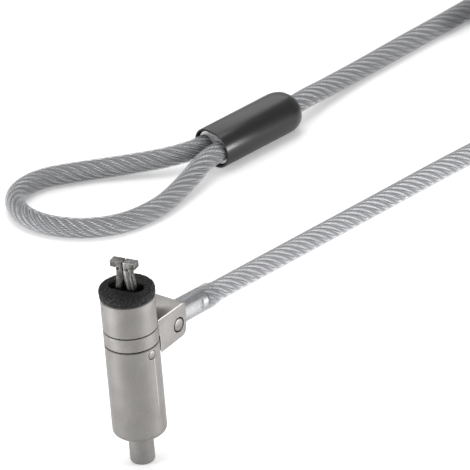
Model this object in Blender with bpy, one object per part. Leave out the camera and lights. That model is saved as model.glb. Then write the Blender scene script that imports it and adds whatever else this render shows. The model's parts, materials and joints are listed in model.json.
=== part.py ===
"""Laptop cable lock: a spring-loaded keyed barrel with a two-hook T-bar, a swivelling clevis,
and a clear-coated steel cable with a crimped loop.

Frame: the origin is the centre of the plunger's end face, +Z runs up the lock's axis, and +X is
the way the clevis and its cable point. Sizes are in millimetres and are scaled to metres by MM.
"""

import math

import bmesh
import bpy
from mathutils import Matrix, Vector

MM = 0.001
GAP = 0.3
SEGMENTS = 64

# Lock body, from the plunger's end face upwards.
BODY_R = 5.75
HOUSING_Z = (7.2, 28.6)
HOUSING_CORNER_R = 1.2
HOUSING_BORE_R = 4.6
HOUSING_FLOOR_Z = 8.8
RING_Z = (28.9, 31.95)
CAP_Z = (32.15, 39.5)
NECK_R = 4.3
NECK_BORE_R = 3.0
NECK_FOOT_Z = 22.5
HOUSING_PIN_R = 0.95
HOUSING_PIN_SPAN = (3.6, 5.73)
HOUSING_PIN_Z = 27.15
HOUSING_PIN_TURN = math.radians(-96.0)

# Plunger and its lock cylinder.
PLUNGER_R = 2.65
PLUNGER_CORNER_R = 0.9
PLUNGER_HOLE_R = PLUNGER_R + GAP
FLANGE_R = 4.1
FLANGE_Z = (10.8, 12.1)
PLUNGER_TOP_Z = 17.0
CYLINDER_BORE_R = 1.5
CYLINDER_BORE_Z = 11.0
SOCKET_R = 1.35
SOCKET_FLOOR_Z = 12.9
SPINDLE_R = 1.35
SPINDLE_TOP_Z = 6.0
KEYWAY_R = (0.7, 1.1)
KEYWAY_DEPTH = 2.0
SPREADER_PIN_R = 0.25
SPREADER_PIN_Z = 15.0
SPREADER_PIN_HALF = 2.5
SPRING_WIRE_R = 0.35
SPRING_MEAN_R = 3.45
SPRING_TURNS = 6
SPRING_END = 0.12

# T-bar: two hooks that turn outwards on their pins. Their frame is turned about the lock's axis.
T_TURN = math.radians(11.0)
HOOK_HALF_DEPTH = 1.0
HOOK_PIN_W = 2.2
HOOK_PIN_Z = 34.0
HOOK_PIN_R = 0.5
HOOK_PIN_HALF = 2.9
DIMPLE_R = 0.42
DIMPLE_DEPTH = 0.22
DIMPLE_W = 1.1
DIMPLE_Z = 46.3
HOOK_TOP_Z = 47.9
HOOK_HEAD_Z = 46.45
HOOK_HALF_WIDTH = 2.88
SLOT_HALF = (3.6, 1.3)
BLADE_HALF_DEPTH = 0.85

# Foam washer with its oblong opening.
WASHER_R = 5.95
WASHER_Z = (39.65, 41.8)
OPENING_HALF = (3.9, 1.7)

# Clevis and its rivet.
CLEVIS_END_X = 13.45
CLEVIS_Z = (25.0, 32.65)
EAR_Y = (2.95, 4.2)
WEB_Z = 31.45
RIVET_X = 10.65
RIVET_Z = 28.3
RIVET_R = 1.42
RIVET_HOLE_R = 1.75
RIVET_PROUD = 0.05

# Cable and its fittings.
CABLE_R = 2.2
CABLE_PITCH = math.radians(6.9)
TERMINAL_R = 2.3
TERMINAL_END = 12.9
TERMINAL_EYE_R = 2.62
TERMINAL_EYE_HALF = 2.5
FLAT_SPAN = (2.4, 11.2)
FLAT_Y = 1.75
SLEEVE_R = (2.45, 2.65)
SLEEVE_SPAN = (3.05, 16.7)
TUBE_SPACING = 5.5

# Loop crimp: its mouth faces the loop, and its domed end faces the coil.
CRIMP_MOUTH = Vector((106.9, 63.0, 4.2))
CRIMP_TURN = math.radians(169.9)
CRIMP_LENGTH = 23.3
CRIMP_HALF = (5.2, 4.2)
CRIMP_WALL = 0.45
CRIMP_DOME = 3.6
FERRULE_SPAN = (2.6, 17.0)
FERRULE_HALF = (4.45, 3.4)

# Coil of spare cable: two layers of spiral turns, held by two ties.
COIL_CENTRE = Vector((208.0, 15.0, 0.0))
COIL_R = (18.25, 36.25)
COIL_LAYER_Z = (3.1, 7.6)
TIE_THICKNESS = 0.6
TIE_HALF_WIDTH = 3.5
TIE_INNER_SLACK = 0.5
TIE_TURNS = (math.radians(-35.0), math.radians(145.0))

# Where the cable runs between its fittings, as points of its centreline.
LEAD_ROUTE = (
    (50.0, 0.0, 23.54), (80.0, 0.0, 19.9), (106.0, 0.0, 16.8), (122.0, -0.6, 14.95),
    (140.0, -3.0, 13.0), (156.0, -7.6, 11.3), (172.0, -13.4, 9.6), (188.0, -18.6, 8.2),
    (199.0, -20.8, 7.7), (208.0, -21.25, 7.6),
)
RETURN_ROUTE = (
    (208.0, 51.25, 3.1), (199.0, 51.6, 2.9), (188.0, 53.1, 2.4), (176.2, 54.9, 2.2),
    (164.4, 56.6, 2.2), (152.8, 58.0, 2.3), (142.0, 58.75, 3.0), (134.5, 58.75, 4.0),
)
LOOP_ROUTE = (
    (103.2, 61.1, 4.1), (99.8, 60.8, 3.8), (96.2, 60.3, 3.3), (92.4, 60.0, 2.8),
    (88.4, 59.8, 2.35), (84.4, 59.8, 2.2), (80.2, 60.4, 2.2), (76.3, 61.6, 2.2),
    (72.8, 63.7, 2.2), (69.9, 66.7, 2.2), (67.7, 70.5, 2.2), (66.4, 74.8, 2.2),
    (66.2, 79.3, 2.2), (67.3, 83.7, 2.2), (69.8, 87.6, 2.2), (73.6, 90.1, 2.2),
    (78.1, 90.4, 2.2), (82.4, 88.8, 2.2), (86.4, 85.6, 2.2), (90.0, 82.0, 2.25),
    (93.3, 78.2, 2.5), (96.3, 74.5, 2.9), (99.0, 71.0, 3.4), (101.6, 68.2, 3.9),
    (104.4, 66.2, 4.2),
)


def clear_scene():
    for old in list(bpy.data.objects):
        bpy.data.objects.remove(old)


def material(name, colour, roughness, metallic, transmission=0.0):
    made = bpy.data.materials.new(name)
    made.use_nodes = True
    shader = made.node_tree.nodes["Principled BSDF"]
    shader.inputs["Base Color"].default_value = (*colour, 1.0)
    shader.inputs["Roughness"].default_value = roughness
    shader.inputs["Metallic"].default_value = metallic
    shader.inputs["Transmission Weight"].default_value = transmission
    return made


def add_object(name, data, finish=None):
    made = bpy.data.objects.new(name, data)
    bpy.context.scene.collection.objects.link(made)
    if finish:
        data.materials.append(finish)
    return made


def mesh_object(name, bm, finish=None, smooth_angle=35.0):
    """Writes a bmesh, which is in millimetres, to a new object in metres."""
    bmesh.ops.remove_doubles(bm, verts=bm.verts, dist=1e-4)
    bmesh.ops.recalc_face_normals(bm, faces=bm.faces)
    bmesh.ops.scale(bm, verts=bm.verts, vec=(MM, MM, MM))
    data = bpy.data.meshes.new(name)
    bm.to_mesh(data)
    bm.free()
    data.shade_smooth()
    data.set_sharp_from_angle(angle=math.radians(smooth_angle))
    return add_object(name, data, finish)


def rounded(corners, steps=0):
    """An outline through (a, b, radius) corners, each turned into an arc of that radius.
    Larger arcs get more steps, unless their number is given."""
    count = len(corners)
    outline = []
    for index, (a, b, radius) in enumerate(corners):
        here = Vector((a, b))
        if radius <= 0.0:
            outline.append(here)
            continue
        back = (Vector(corners[index - 1][:2]) - here).normalized()
        ahead = (Vector(corners[(index + 1) % count][:2]) - here).normalized()
        half = back.angle(ahead) / 2.0
        reach = radius / math.tan(half)
        centre = here + (back + ahead).normalized() * (radius / math.sin(half))
        start = here + back * reach - centre
        end = here + ahead * reach - centre
        pieces = steps or min(5, max(1, round(radius * 5)))
        for step in range(pieces + 1):
            part = start.lerp(end, step / pieces)
            outline.append(centre + part.normalized() * radius)
    return outline


def turned(name, corners, finish=None, segments=SEGMENTS, closed=True):
    """A turned piece from (radius, height, corner radius) points.
    A closed outline makes a ring, and an open one starts and ends on the axis."""
    outline = rounded(corners)
    bm = bmesh.new()
    verts = [bm.verts.new((p.x, 0.0, p.y)) for p in outline]
    edges = [bm.edges.new(pair) for pair in zip(verts, verts[1:])]
    if closed:
        edges.append(bm.edges.new((verts[-1], verts[0])))
    bmesh.ops.spin(
        bm, geom=verts + edges, cent=(0, 0, 0), axis=(0, 0, 1), angle=math.tau,
        steps=segments, use_merge=True,
    )
    return mesh_object(name, bm, finish)


def prism(name, outline, low, high, finish=None, bevel=0.0):
    """An outline in the X-Z plane, drawn out along Y from low to high."""
    bm = bmesh.new()
    face = bm.faces.new([bm.verts.new((p[0], low, p[1])) for p in outline])
    drawn = bmesh.ops.extrude_face_region(bm, geom=[face])
    moved = [item for item in drawn["geom"] if isinstance(item, bmesh.types.BMVert)]
    bmesh.ops.translate(bm, verts=moved, vec=(0, high - low, 0))
    made = mesh_object(name, bm, finish)
    if bevel > 0.0:
        soften(made, bevel)
    return made


def rod(name, radius, start, end, finish=None, segments=32, bevel=0.0):
    """A round bar between two points."""
    start = Vector(start)
    axis = Vector(end) - start
    bm = bmesh.new()
    bmesh.ops.create_cone(
        bm, cap_ends=True, segments=segments, radius1=radius, radius2=radius,
        depth=axis.length,
    )
    place = Matrix.Translation(start + axis / 2) @ axis.to_track_quat("Z", "Y").to_matrix().to_4x4()
    bmesh.ops.transform(bm, matrix=place, verts=bm.verts)
    made = mesh_object(name, bm, finish)
    if bevel > 0.0:
        soften(made, bevel)
    return made


def soften(target, width, segments=2):
    bevel = target.modifiers.new("edges", "BEVEL")
    bevel.width = width * MM
    bevel.segments = segments
    bevel.limit_method = "ANGLE"
    bevel.angle_limit = math.radians(35.0)


def combine(target, tool, operation="DIFFERENCE"):
    """Cuts or joins another object, which is then only a helper."""
    boolean = target.modifiers.new(tool.name, "BOOLEAN")
    boolean.operation = operation
    boolean.solver = "EXACT"
    boolean.object = tool
    tool.hide_render = True
    tool.display_type = "WIRE"


def tube(name, points, radius, finish, resolution=2):
    """A round tube along points in millimetres, with filled ends."""
    data = bpy.data.curves.new(name, "CURVE")
    data.dimensions = "3D"
    data.bevel_depth = radius * MM
    data.bevel_resolution = resolution
    data.use_fill_caps = True
    spline = data.splines.new("POLY")
    spline.points.add(len(points) - 1)
    for slot, point in zip(spline.points, points):
        slot.co = (*(Vector(point) * MM), 1.0)
    return add_object(name, data, finish)


def smooth_path(route):
    """Close points along one smooth curve through the route's points."""
    knots = [Vector(p) for p in route]
    knots = [knots[0] * 2 - knots[1], *knots, knots[-1] * 2 - knots[-2]]
    fine = []
    for before, start, end, after in zip(knots, knots[1:], knots[2:], knots[3:]):
        for step in range(20):
            t = step / 20
            fine.append(
                0.5 * (2 * start + (end - before) * t
                       + (2 * before - 5 * start + 4 * end - after) * t * t
                       + (3 * start - before - 3 * end + after) * t ** 3)
            )
    fine.append(knots[-2])
    return fine


def evenly(path, spacing):
    """The same curve with its points this far apart."""
    lengths = [0.0]
    for a, b in zip(path, path[1:]):
        lengths.append(lengths[-1] + (b - a).length)
    count = max(2, round(lengths[-1] / spacing))
    even = []
    piece = 0
    for index in range(count + 1):
        wanted = lengths[-1] * index / count
        while piece < len(path) - 2 and lengths[piece + 1] < wanted:
            piece += 1
        share = (wanted - lengths[piece]) / (lengths[piece + 1] - lengths[piece])
        even.append(path[piece].lerp(path[piece + 1], share))
    return even


def on_cable(distance):
    """A point of the terminal's axis, this far from the rivet."""
    along = Vector((math.cos(CABLE_PITCH), 0.0, -math.sin(CABLE_PITCH)))
    return Vector((RIVET_X, 0.0, RIVET_Z)) + along * distance


def in_crimp(depth, side=0.0):
    """A point inside the crimp, this far in from its mouth and this far to its +perpendicular side."""
    out = Vector((math.cos(CRIMP_TURN), math.sin(CRIMP_TURN), 0.0))
    across = Vector((out.y, -out.x, 0.0))
    return CRIMP_MOUTH - out * depth + across * side


def barrel_parts(nickel, dark_steel, brass, spring_steel, foam):
    """The pieces fixed to the lock body."""
    bottom, top = HOUSING_Z
    housing = turned("lower_housing", (
        (PLUNGER_HOLE_R, bottom, 0.0), (BODY_R, bottom, HOUSING_CORNER_R),
        (BODY_R, top, 0.18), (HOUSING_BORE_R, top, 0.0),
        (HOUSING_BORE_R, HOUSING_FLOOR_Z, 0.0), (PLUNGER_HOLE_R, HOUSING_FLOOR_Z, 0.0),
    ), nickel)
    cap = turned("head_cap", (
        (0.0, CAP_Z[1], 0.0), (BODY_R, CAP_Z[1], 0.25), (BODY_R, CAP_Z[0], 0.15),
        (NECK_R, CAP_Z[0], 0.0), (NECK_R, NECK_FOOT_Z, 0.2), (NECK_BORE_R, NECK_FOOT_Z, 0.0),
        (NECK_BORE_R, CAP_Z[0] + 0.5, 0.0), (0.0, CAP_Z[0] + 0.5, 0.0),
    ), nickel, closed=False)
    slot = prism("cut_hook_slot", (
        (-SLOT_HALF[0], CAP_Z[0] + 0.2), (SLOT_HALF[0], CAP_Z[0] + 0.2),
        (SLOT_HALF[0], CAP_Z[1] + 1.0), (-SLOT_HALF[0], CAP_Z[1] + 1.0),
    ), -SLOT_HALF[1], SLOT_HALF[1])
    slot.rotation_euler.z = T_TURN - math.pi / 2
    combine(cap, slot)

    outward = Vector((math.cos(HOUSING_PIN_TURN), math.sin(HOUSING_PIN_TURN), 0.0))
    lift = Vector((0.0, 0.0, HOUSING_PIN_Z))
    inner, outer = HOUSING_PIN_SPAN
    rod("housing_pin", HOUSING_PIN_R, outward * inner + lift, outward * outer + lift, nickel,
        bevel=0.1)
    pin_hole = rod("cut_pin_hole", HOUSING_PIN_R + 0.16, outward * (inner - 0.25) + lift,
                   outward * (outer + 1.0) + lift)
    combine(housing, pin_hole)
    combine(cap, pin_hole)

    turned("plunger_bush", (
        (PLUNGER_HOLE_R, HOUSING_FLOOR_Z + GAP, 0.0), (NECK_R, HOUSING_FLOOR_Z + GAP, 0.1),
        (NECK_R, FLANGE_Z[0] - GAP, 0.1), (PLUNGER_HOLE_R, FLANGE_Z[0] - GAP, 0.0),
    ), brass, segments=32)
    for side, name in ((-1.0, "left"), (1.0, "right")):
        pin = rod(f"hook_pin_{name}", HOOK_PIN_R, (side * HOOK_PIN_W, -HOOK_PIN_HALF, HOOK_PIN_Z),
                  (side * HOOK_PIN_W, HOOK_PIN_HALF, HOOK_PIN_Z), dark_steel, segments=20)
        pin.rotation_euler.z = T_TURN - math.pi / 2
        hole = rod(f"cut_hook_pin_{name}", HOOK_PIN_R + 0.15, (side * HOOK_PIN_W, -3.2, HOOK_PIN_Z),
                   (side * HOOK_PIN_W, 3.2, HOOK_PIN_Z), segments=20)
        hole.rotation_euler.z = T_TURN - math.pi / 2
        combine(cap, hole)

    low = FLANGE_Z[1] + GAP + SPRING_WIRE_R
    high = NECK_FOOT_Z - GAP - SPRING_WIRE_R
    steps = SPRING_TURNS * 12
    coil = []
    for step in range(steps + 1):
        share = step / steps
        turn = math.tau * SPRING_TURNS * share
        steep = min(1.0, max(0.0, (share - SPRING_END) / (1.0 - 2 * SPRING_END)))
        coil.append((SPRING_MEAN_R * math.cos(turn), SPRING_MEAN_R * math.sin(turn),
                     low + (high - low) * (share + steep) / 2))
    tube("return_spring", coil, SPRING_WIRE_R, spring_steel, resolution=1)

    washer = turned("foam_washer", (
        (0.0, WASHER_Z[0], 0.0), (WASHER_R, WASHER_Z[0], 0.35),
        (WASHER_R, WASHER_Z[1], 0.7), (0.0, WASHER_Z[1], 0.0),
    ), foam, closed=False)
    wide, deep = OPENING_HALF
    opening_outline = rounded((
        (-wide, -deep, deep * 0.98), (wide, -deep, deep * 0.98),
        (wide, deep, deep * 0.98), (-wide, deep, deep * 0.98),
    ), steps=8)
    opening = prism("cut_opening", opening_outline, WASHER_Z[0] - 1.0, WASHER_Z[1] + 1.0)
    opening.rotation_euler = (math.pi / 2, 0.0, 0.0)
    stand = bpy.data.objects.new("opening_turn", None)
    bpy.context.scene.collection.objects.link(stand)
    stand.rotation_euler.z = T_TURN - math.pi / 2
    opening.parent = stand
    combine(washer, opening)


def plunger_parts(nickel, steel, brass):
    """The plunger that is pushed in, what it carries, and the spindle that the key turns."""
    plunger = turned("plunger_barrel", (
        (0.0, CYLINDER_BORE_Z, 0.0), (CYLINDER_BORE_R, CYLINDER_BORE_Z, 0.0),
        (CYLINDER_BORE_R, 0.0, 0.0), (PLUNGER_R, 0.0, PLUNGER_CORNER_R),
        (PLUNGER_R, FLANGE_Z[0], 0.0), (FLANGE_R, FLANGE_Z[0], 0.1),
        (FLANGE_R, FLANGE_Z[1], 0.1), (PLUNGER_R, FLANGE_Z[1], 0.0),
        (PLUNGER_R, PLUNGER_TOP_Z, 0.2), (SOCKET_R, PLUNGER_TOP_Z, 0.0),
        (SOCKET_R, SOCKET_FLOOR_Z, 0.0), (0.0, SOCKET_FLOOR_Z, 0.0),
    ), nickel, segments=48, closed=False)
    spreader = prism("spreader", (
        (-0.6, 13.2), (0.6, 13.2), (0.6, 31.0), (1.25, 33.8), (1.25, 35.5), (0.2, 39.3),
        (-0.2, 39.3), (-1.25, 35.5), (-1.25, 33.8), (-0.6, 31.0),
    ), -BLADE_HALF_DEPTH, BLADE_HALF_DEPTH, steel, bevel=0.06)
    spreader.rotation_euler.z = T_TURN - math.pi / 2
    across = Vector((0.0, 1.0, 0.0))
    lift = Vector((0.0, 0.0, SPREADER_PIN_Z))
    pin = rod("spreader_pin", SPREADER_PIN_R, lift - across * SPREADER_PIN_HALF,
              lift + across * SPREADER_PIN_HALF, steel, segments=16)
    hole = rod("cut_spreader_pin", SPREADER_PIN_R + 0.12, lift - across * 4.0,
               lift + across * 4.0, segments=16)
    for piece in (pin, hole):
        piece.rotation_euler.z = T_TURN - math.pi / 2
    combine(plunger, hole)
    combine(spreader, hole)
    turned("tumbler_block", (
        (0.0, SPINDLE_TOP_Z + GAP, 0.0), (SPINDLE_R, SPINDLE_TOP_Z + GAP, 0.1),
        (SPINDLE_R, CYLINDER_BORE_Z - GAP, 0.1), (0.0, CYLINDER_BORE_Z - GAP, 0.0),
    ), brass, segments=32, closed=False)
    turned("key_spindle", (
        (0.0, 0.0, 0.0), (KEYWAY_R[0], 0.0, 0.0), (KEYWAY_R[0], KEYWAY_DEPTH, 0.0),
        (KEYWAY_R[1], KEYWAY_DEPTH, 0.0), (KEYWAY_R[1], 0.0, 0.0), (SPINDLE_R, 0.0, 0.05),
        (SPINDLE_R, SPINDLE_TOP_Z, 0.1), (0.0, SPINDLE_TOP_Z, 0.0),
    ), steel, segments=32, closed=False)


def hook(name, side, finish):
    """One hook of the T-bar. The other is the same piece turned half round."""
    outline = rounded((
        (1.6, 32.7, 0.3), (2.7, 32.7, 0.5), (3.0, 33.6, 0.4), (3.0, 36.4, 0.3),
        (2.05, 38.0, 0.5), (2.05, 41.4, 0.9), (1.55, 44.6, 1.2), (1.55, HOOK_HEAD_Z, 0.15),
        (HOOK_HALF_WIDTH, HOOK_HEAD_Z, 0.12), (HOOK_HALF_WIDTH, HOOK_TOP_Z, 0.12),
        (0.14, HOOK_TOP_Z, 0.0), (0.14, 43.8, 1.2), (0.83, 41.2, 1.2), (0.83, 38.6, 0.5),
        (1.52, 36.4, 0.5),
    ), steps=3)
    away = [Vector((p.x - HOOK_PIN_W, p.y - HOOK_PIN_Z)) for p in outline]
    made = prism(name, away, -HOOK_HALF_DEPTH, HOOK_HALF_DEPTH, finish, bevel=0.07)
    eye = rod(f"cut_{name}_eye", HOOK_PIN_R + 0.15, (0.0, -2.0, 0.0), (0.0, 2.0, 0.0), segments=20)
    dimple_at = Vector((DIMPLE_W - HOOK_PIN_W, 0.0, DIMPLE_Z - HOOK_PIN_Z))
    out = Vector((0.0, 2.0, 0.0))
    floor = Vector((0.0, HOOK_HALF_DEPTH - DIMPLE_DEPTH, 0.0))
    dimple = rod(f"cut_{name}_dimple", DIMPLE_R, dimple_at - out, dimple_at - floor, segments=16)
    back_dimple = rod(f"cut_{name}_back_dimple", DIMPLE_R, dimple_at + floor, dimple_at + out,
                      segments=16)
    groove = prism(f"cut_{name}_groove", [
        Vector((w - HOOK_PIN_W, z - HOOK_PIN_Z)) for w, z in (
            (1.3, 45.9), (1.3, 44.5), (1.8, 41.3), (1.8, 38.4), (2.6, 38.4), (2.6, 45.9))
    ], -0.45, 0.05)
    parts = (made, eye, dimple, back_dimple, groove)
    place = Matrix.Rotation(T_TURN - math.pi / 2 + (math.pi if side < 0 else 0.0), 4, "Z")
    place = place @ Matrix.Translation((HOOK_PIN_W * MM, 0.0, HOOK_PIN_Z * MM))
    for piece in parts:
        piece.matrix_world = place
    for tool in parts[1:]:
        combine(made, tool)


def swivel_parts(nickel):
    """The ring that turns on the neck, its clevis, and the rivet."""
    bottom, top = CLEVIS_Z
    clevis = prism("swivel_ring", rounded((
        (4.0, bottom - 0.3, 0.0), (CLEVIS_END_X - 0.55, bottom + 0.1, 1.7),
        (CLEVIS_END_X, bottom + 3.4, 2.0), (CLEVIS_END_X, top, 1.0), (4.0, top, 0.0),
    ), steps=6), -EAR_Y[1], EAR_Y[1], nickel, bevel=0.22)
    cavity = prism("cut_cavity", (
        (6.3, bottom - 2.0), (CLEVIS_END_X + 2.0, bottom - 2.0),
        (CLEVIS_END_X + 2.0, WEB_Z), (6.3, WEB_Z),
    ), -EAR_Y[0], EAR_Y[0])
    ring = turned("join_ring", (
        (HOUSING_BORE_R - 1.0, RING_Z[0], 0.0), (BODY_R, RING_Z[0], 0.12),
        (BODY_R, RING_Z[1], 0.12), (HOUSING_BORE_R - 1.0, RING_Z[1], 0.0),
    ))
    below = turned("cut_below", (
        (0.0, bottom - 3.0, 0.0), (BODY_R + GAP, bottom - 3.0, 0.0),
        (BODY_R + GAP, RING_Z[0], 0.0), (0.0, RING_Z[0], 0.0),
    ), closed=False)
    above = turned("cut_above", (
        (0.0, RING_Z[1], 0.0), (BODY_R + 0.2, RING_Z[1], 0.0),
        (BODY_R + 0.2, top + 2.0, 0.0), (0.0, top + 2.0, 0.0),
    ), closed=False)
    bore = rod("cut_ring_bore", HOUSING_BORE_R, (0.0, 0.0, RING_Z[0] - 1.0),
               (0.0, 0.0, RING_Z[1] + 1.0), segments=SEGMENTS)
    eye = rod("cut_rivet", RIVET_HOLE_R, (RIVET_X, -9.0, RIVET_Z), (RIVET_X, 9.0, RIVET_Z))
    combine(clevis, cavity)
    combine(clevis, below)
    combine(clevis, above)
    combine(clevis, ring, "UNION")
    combine(clevis, bore)
    combine(clevis, eye)
    rod("clevis_rivet", RIVET_R, (RIVET_X, -EAR_Y[1] - RIVET_PROUD, RIVET_Z),
        (RIVET_X, EAR_Y[1] + RIVET_PROUD, RIVET_Z), nickel, bevel=0.2)


def terminal_parts(steel, clear):
    """The swaged end that turns on the rivet, built along X and pitched down with the cable."""
    body = rod("cable_terminal", TERMINAL_R, (0.0, 0.0, 0.0), (TERMINAL_END, 0.0, 0.0), steel,
               segments=40, bevel=0.25)
    eye = rod("join_eye", TERMINAL_EYE_R, (0.0, -TERMINAL_EYE_HALF, 0.0),
              (0.0, TERMINAL_EYE_HALF, 0.0), segments=40)
    combine(body, eye, "UNION")
    start, end = FLAT_SPAN
    for name, low, high in (("near", -4.0, -FLAT_Y), ("far", FLAT_Y, 4.0)):
        flat = prism(f"cut_flat_{name}", rounded((
            (start, -3.0, 0.0), (end, -3.0, 1.6), (end, 3.0, 1.6), (start, 3.0, 0.0),
        )), low, high)
        flat.location = (RIVET_X * MM, 0.0, RIVET_Z * MM)
        flat.rotation_euler.y = CABLE_PITCH
        combine(body, flat)
    hole = rod("cut_terminal_eye", RIVET_HOLE_R, (0.0, -5.0, 0.0), (0.0, 5.0, 0.0))
    combine(body, hole)
    sleeve = turned("terminal_sleeve", (
        (SLEEVE_R[0], SLEEVE_SPAN[0], 0.0), (SLEEVE_R[1], SLEEVE_SPAN[0], 0.05),
        (SLEEVE_R[1], SLEEVE_SPAN[1], 0.1), (SLEEVE_R[0], SLEEVE_SPAN[1], 0.0),
    ), clear, segments=32)
    sleeve.rotation_euler.y = math.pi / 2 + CABLE_PITCH
    sleeve.location = (RIVET_X * MM, 0.0, RIVET_Z * MM)
    for piece in (body, eye, hole):
        piece.location = (RIVET_X * MM, 0.0, RIVET_Z * MM)
        piece.rotation_euler.y = CABLE_PITCH


def crimp_parts(aluminium, black):
    """The ferrule on the loop's two cables and the moulded sleeve over it."""
    wide, high = CRIMP_HALF
    place = Matrix.Translation(CRIMP_MOUTH * MM) @ Matrix.Rotation(CRIMP_TURN - math.pi, 4, "Z")

    def oval(half_wide, half_high, along):
        ring = []
        for step in range(36):
            turn = math.tau * (step + 0.5) / 36
            flat = math.copysign(half_wide - half_high, math.cos(turn))
            ring.append((along, flat + half_high * math.cos(turn), half_high * math.sin(turn)))
        return ring

    def lofted(name, rings, finish=None):
        bm = bmesh.new()
        loops = [[bm.verts.new(p) for p in ring] for ring in rings]
        for near, far in zip(loops, loops[1:]):
            for index in range(len(near)):
                after = (index + 1) % len(near)
                bm.faces.new((near[index], near[after], far[after], far[index]))
        bm.faces.new(loops[0])
        bm.faces.new(loops[-1])
        return mesh_object(name, bm, finish)

    dome = [(CRIMP_LENGTH - CRIMP_DOME * (1.0 - math.sin(t)), 1.0 - 0.42 * (1.0 - math.cos(t)))
            for t in (math.radians(15.0 * n) for n in range(7))]
    shell = lofted("ferrule_sleeve", [
        oval(wide - 0.12, high - 0.12, 0.0), oval(wide, high, 0.15),
        *(oval(wide * scale, high * scale, along) for along, scale in dome),
    ], black)
    inner = lofted("cut_sleeve", [
        oval(wide - CRIMP_WALL, high - CRIMP_WALL, -1.0),
        oval(wide - CRIMP_WALL, high - CRIMP_WALL, CRIMP_LENGTH - 4.5),
    ])
    way_in = lofted("cut_way_in", [
        oval(CABLE_R + GAP, CABLE_R + GAP, CRIMP_LENGTH - 6.0),
        oval(CABLE_R + GAP, CABLE_R + GAP, CRIMP_LENGTH + 2.0),
    ])
    ferrule = lofted("loop_ferrule", [
        oval(FERRULE_HALF[0], FERRULE_HALF[1], FERRULE_SPAN[0]),
        oval(FERRULE_HALF[0], FERRULE_HALF[1], FERRULE_SPAN[1]),
    ], aluminium)
    for piece in (shell, inner, way_in, ferrule):
        piece.matrix_world = place
    combine(shell, inner)
    combine(shell, way_in)


def cable_parts(clear_cable, tie_finish):
    """The cable's plain solids: the lead, the coil, the return and the loop."""
    lead = smooth_path([on_cable(TERMINAL_END + GAP), on_cable(22.0), *LEAD_ROUTE])
    tube("cable_lead", evenly(outside_coil(lead), TUBE_SPACING), CABLE_R, clear_cable)
    back = smooth_path([*RETURN_ROUTE, in_crimp(CRIMP_LENGTH), in_crimp(FERRULE_SPAN[1] + GAP)])
    tube("cable_return", evenly(outside_coil(back), TUBE_SPACING), CABLE_R, clear_cable)
    side = CABLE_R + GAP / 2
    depth = FERRULE_SPAN[0] - GAP
    loop = smooth_path([
        in_crimp(depth, -side), in_crimp(0.0, -side), *LOOP_ROUTE,
        in_crimp(0.0, side), in_crimp(depth, side),
    ])
    tube("cable_loop", evenly(loop, TUBE_SPACING), CABLE_R, clear_cable)

    low = COIL_LAYER_Z[0] - CABLE_R
    high = COIL_LAYER_Z[1] + CABLE_R
    inner = COIL_R[0] - CABLE_R
    outer = COIL_R[1] + CABLE_R
    coil = turned("cable_coil", (
        (inner, low, 1.2), (outer, low, 1.2), (outer, high, 1.2), (inner, high, 1.2),
    ), clear_cable, segments=40)
    coil.location = COIL_CENTRE * MM
    for number, turn in enumerate(TIE_TURNS, 1):
        tie = coil_tie(f"coil_tie_{number}", inner, outer, low, high, tie_finish)
        tie.matrix_world = (
            Matrix.Translation(COIL_CENTRE * MM) @ Matrix.Rotation(turn, 4, "Z")
        )


def outside_coil(path):
    """The stretch of a path where the cable is clear of the coil's solid."""
    reach = COIL_R[1] + 2 * CABLE_R + GAP
    return [p for p in path if (p - COIL_CENTRE).xy.length > reach]


def coil_tie(name, inner, outer, low, high, finish):
    """A flat strap that goes once round the coil's bundle, with slack where the coil curves."""
    space = GAP
    inner -= TIE_INNER_SLACK
    made = prism(name, rounded((
        (inner - space - TIE_THICKNESS, low - space - TIE_THICKNESS, 1.6),
        (outer + space + TIE_THICKNESS, low - space - TIE_THICKNESS, 1.6),
        (outer + space + TIE_THICKNESS, high + space + TIE_THICKNESS, 1.6),
        (inner - space - TIE_THICKNESS, high + space + TIE_THICKNESS, 1.6),
    )), -TIE_HALF_WIDTH, TIE_HALF_WIDTH, finish)
    inside = prism(f"cut_{name}", rounded((
        (inner - space, low - space, 1.0), (outer + space, low - space, 1.0),
        (outer + space, high + space, 1.0), (inner - space, high + space, 1.0),
    )), -TIE_HALF_WIDTH - 1.0, TIE_HALF_WIDTH + 1.0)
    inside.parent = made
    combine(made, inside)
    return made


def main():
    clear_scene()
    nickel = material("satin nickel", (0.46, 0.45, 0.43), 0.38, 1.0)
    dark_steel = material("hardened steel", (0.20, 0.20, 0.20), 0.35, 1.0)
    steel = material("bright steel", (0.60, 0.60, 0.62), 0.30, 1.0)
    brass = material("brass", (0.62, 0.46, 0.20), 0.35, 1.0)
    spring_steel = material("spring steel", (0.40, 0.40, 0.42), 0.35, 1.0)
    foam = material("black foam rubber", (0.02, 0.02, 0.02), 0.95, 0.0)
    clear = material("clear shrink tube", (0.85, 0.85, 0.87), 0.15, 0.0, transmission=0.8)
    clear_cable = material("clear coated steel rope", (0.55, 0.55, 0.57), 0.25, 0.6)
    aluminium = material("aluminium", (0.70, 0.70, 0.72), 0.35, 1.0)
    black = material("glossy black sleeve", (0.03, 0.03, 0.033), 0.22, 0.0)
    strap = material("black hook and loop strap", (0.02, 0.02, 0.02), 0.9, 0.0)

    barrel_parts(nickel, dark_steel, brass, spring_steel, foam)
    plunger_parts(nickel, steel, brass)
    hook("hook_left", -1.0, dark_steel)
    hook("hook_right", 1.0, dark_steel)
    swivel_parts(nickel)
    terminal_parts(steel, clear)
    crimp_parts(aluminium, black)
    cable_parts(clear_cable, strap)


main()
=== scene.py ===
"""The looks of a laptop cable lock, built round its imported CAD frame.

Lengths are in millimetres and are scaled to metres by MM. The origin is the centre of the plunger's
end face, +Z runs up the lock's axis, and +X is the way the clevis and its cable point.
"""

import json
import math

import bmesh
import bpy
from mathutils import Matrix, Vector


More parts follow.
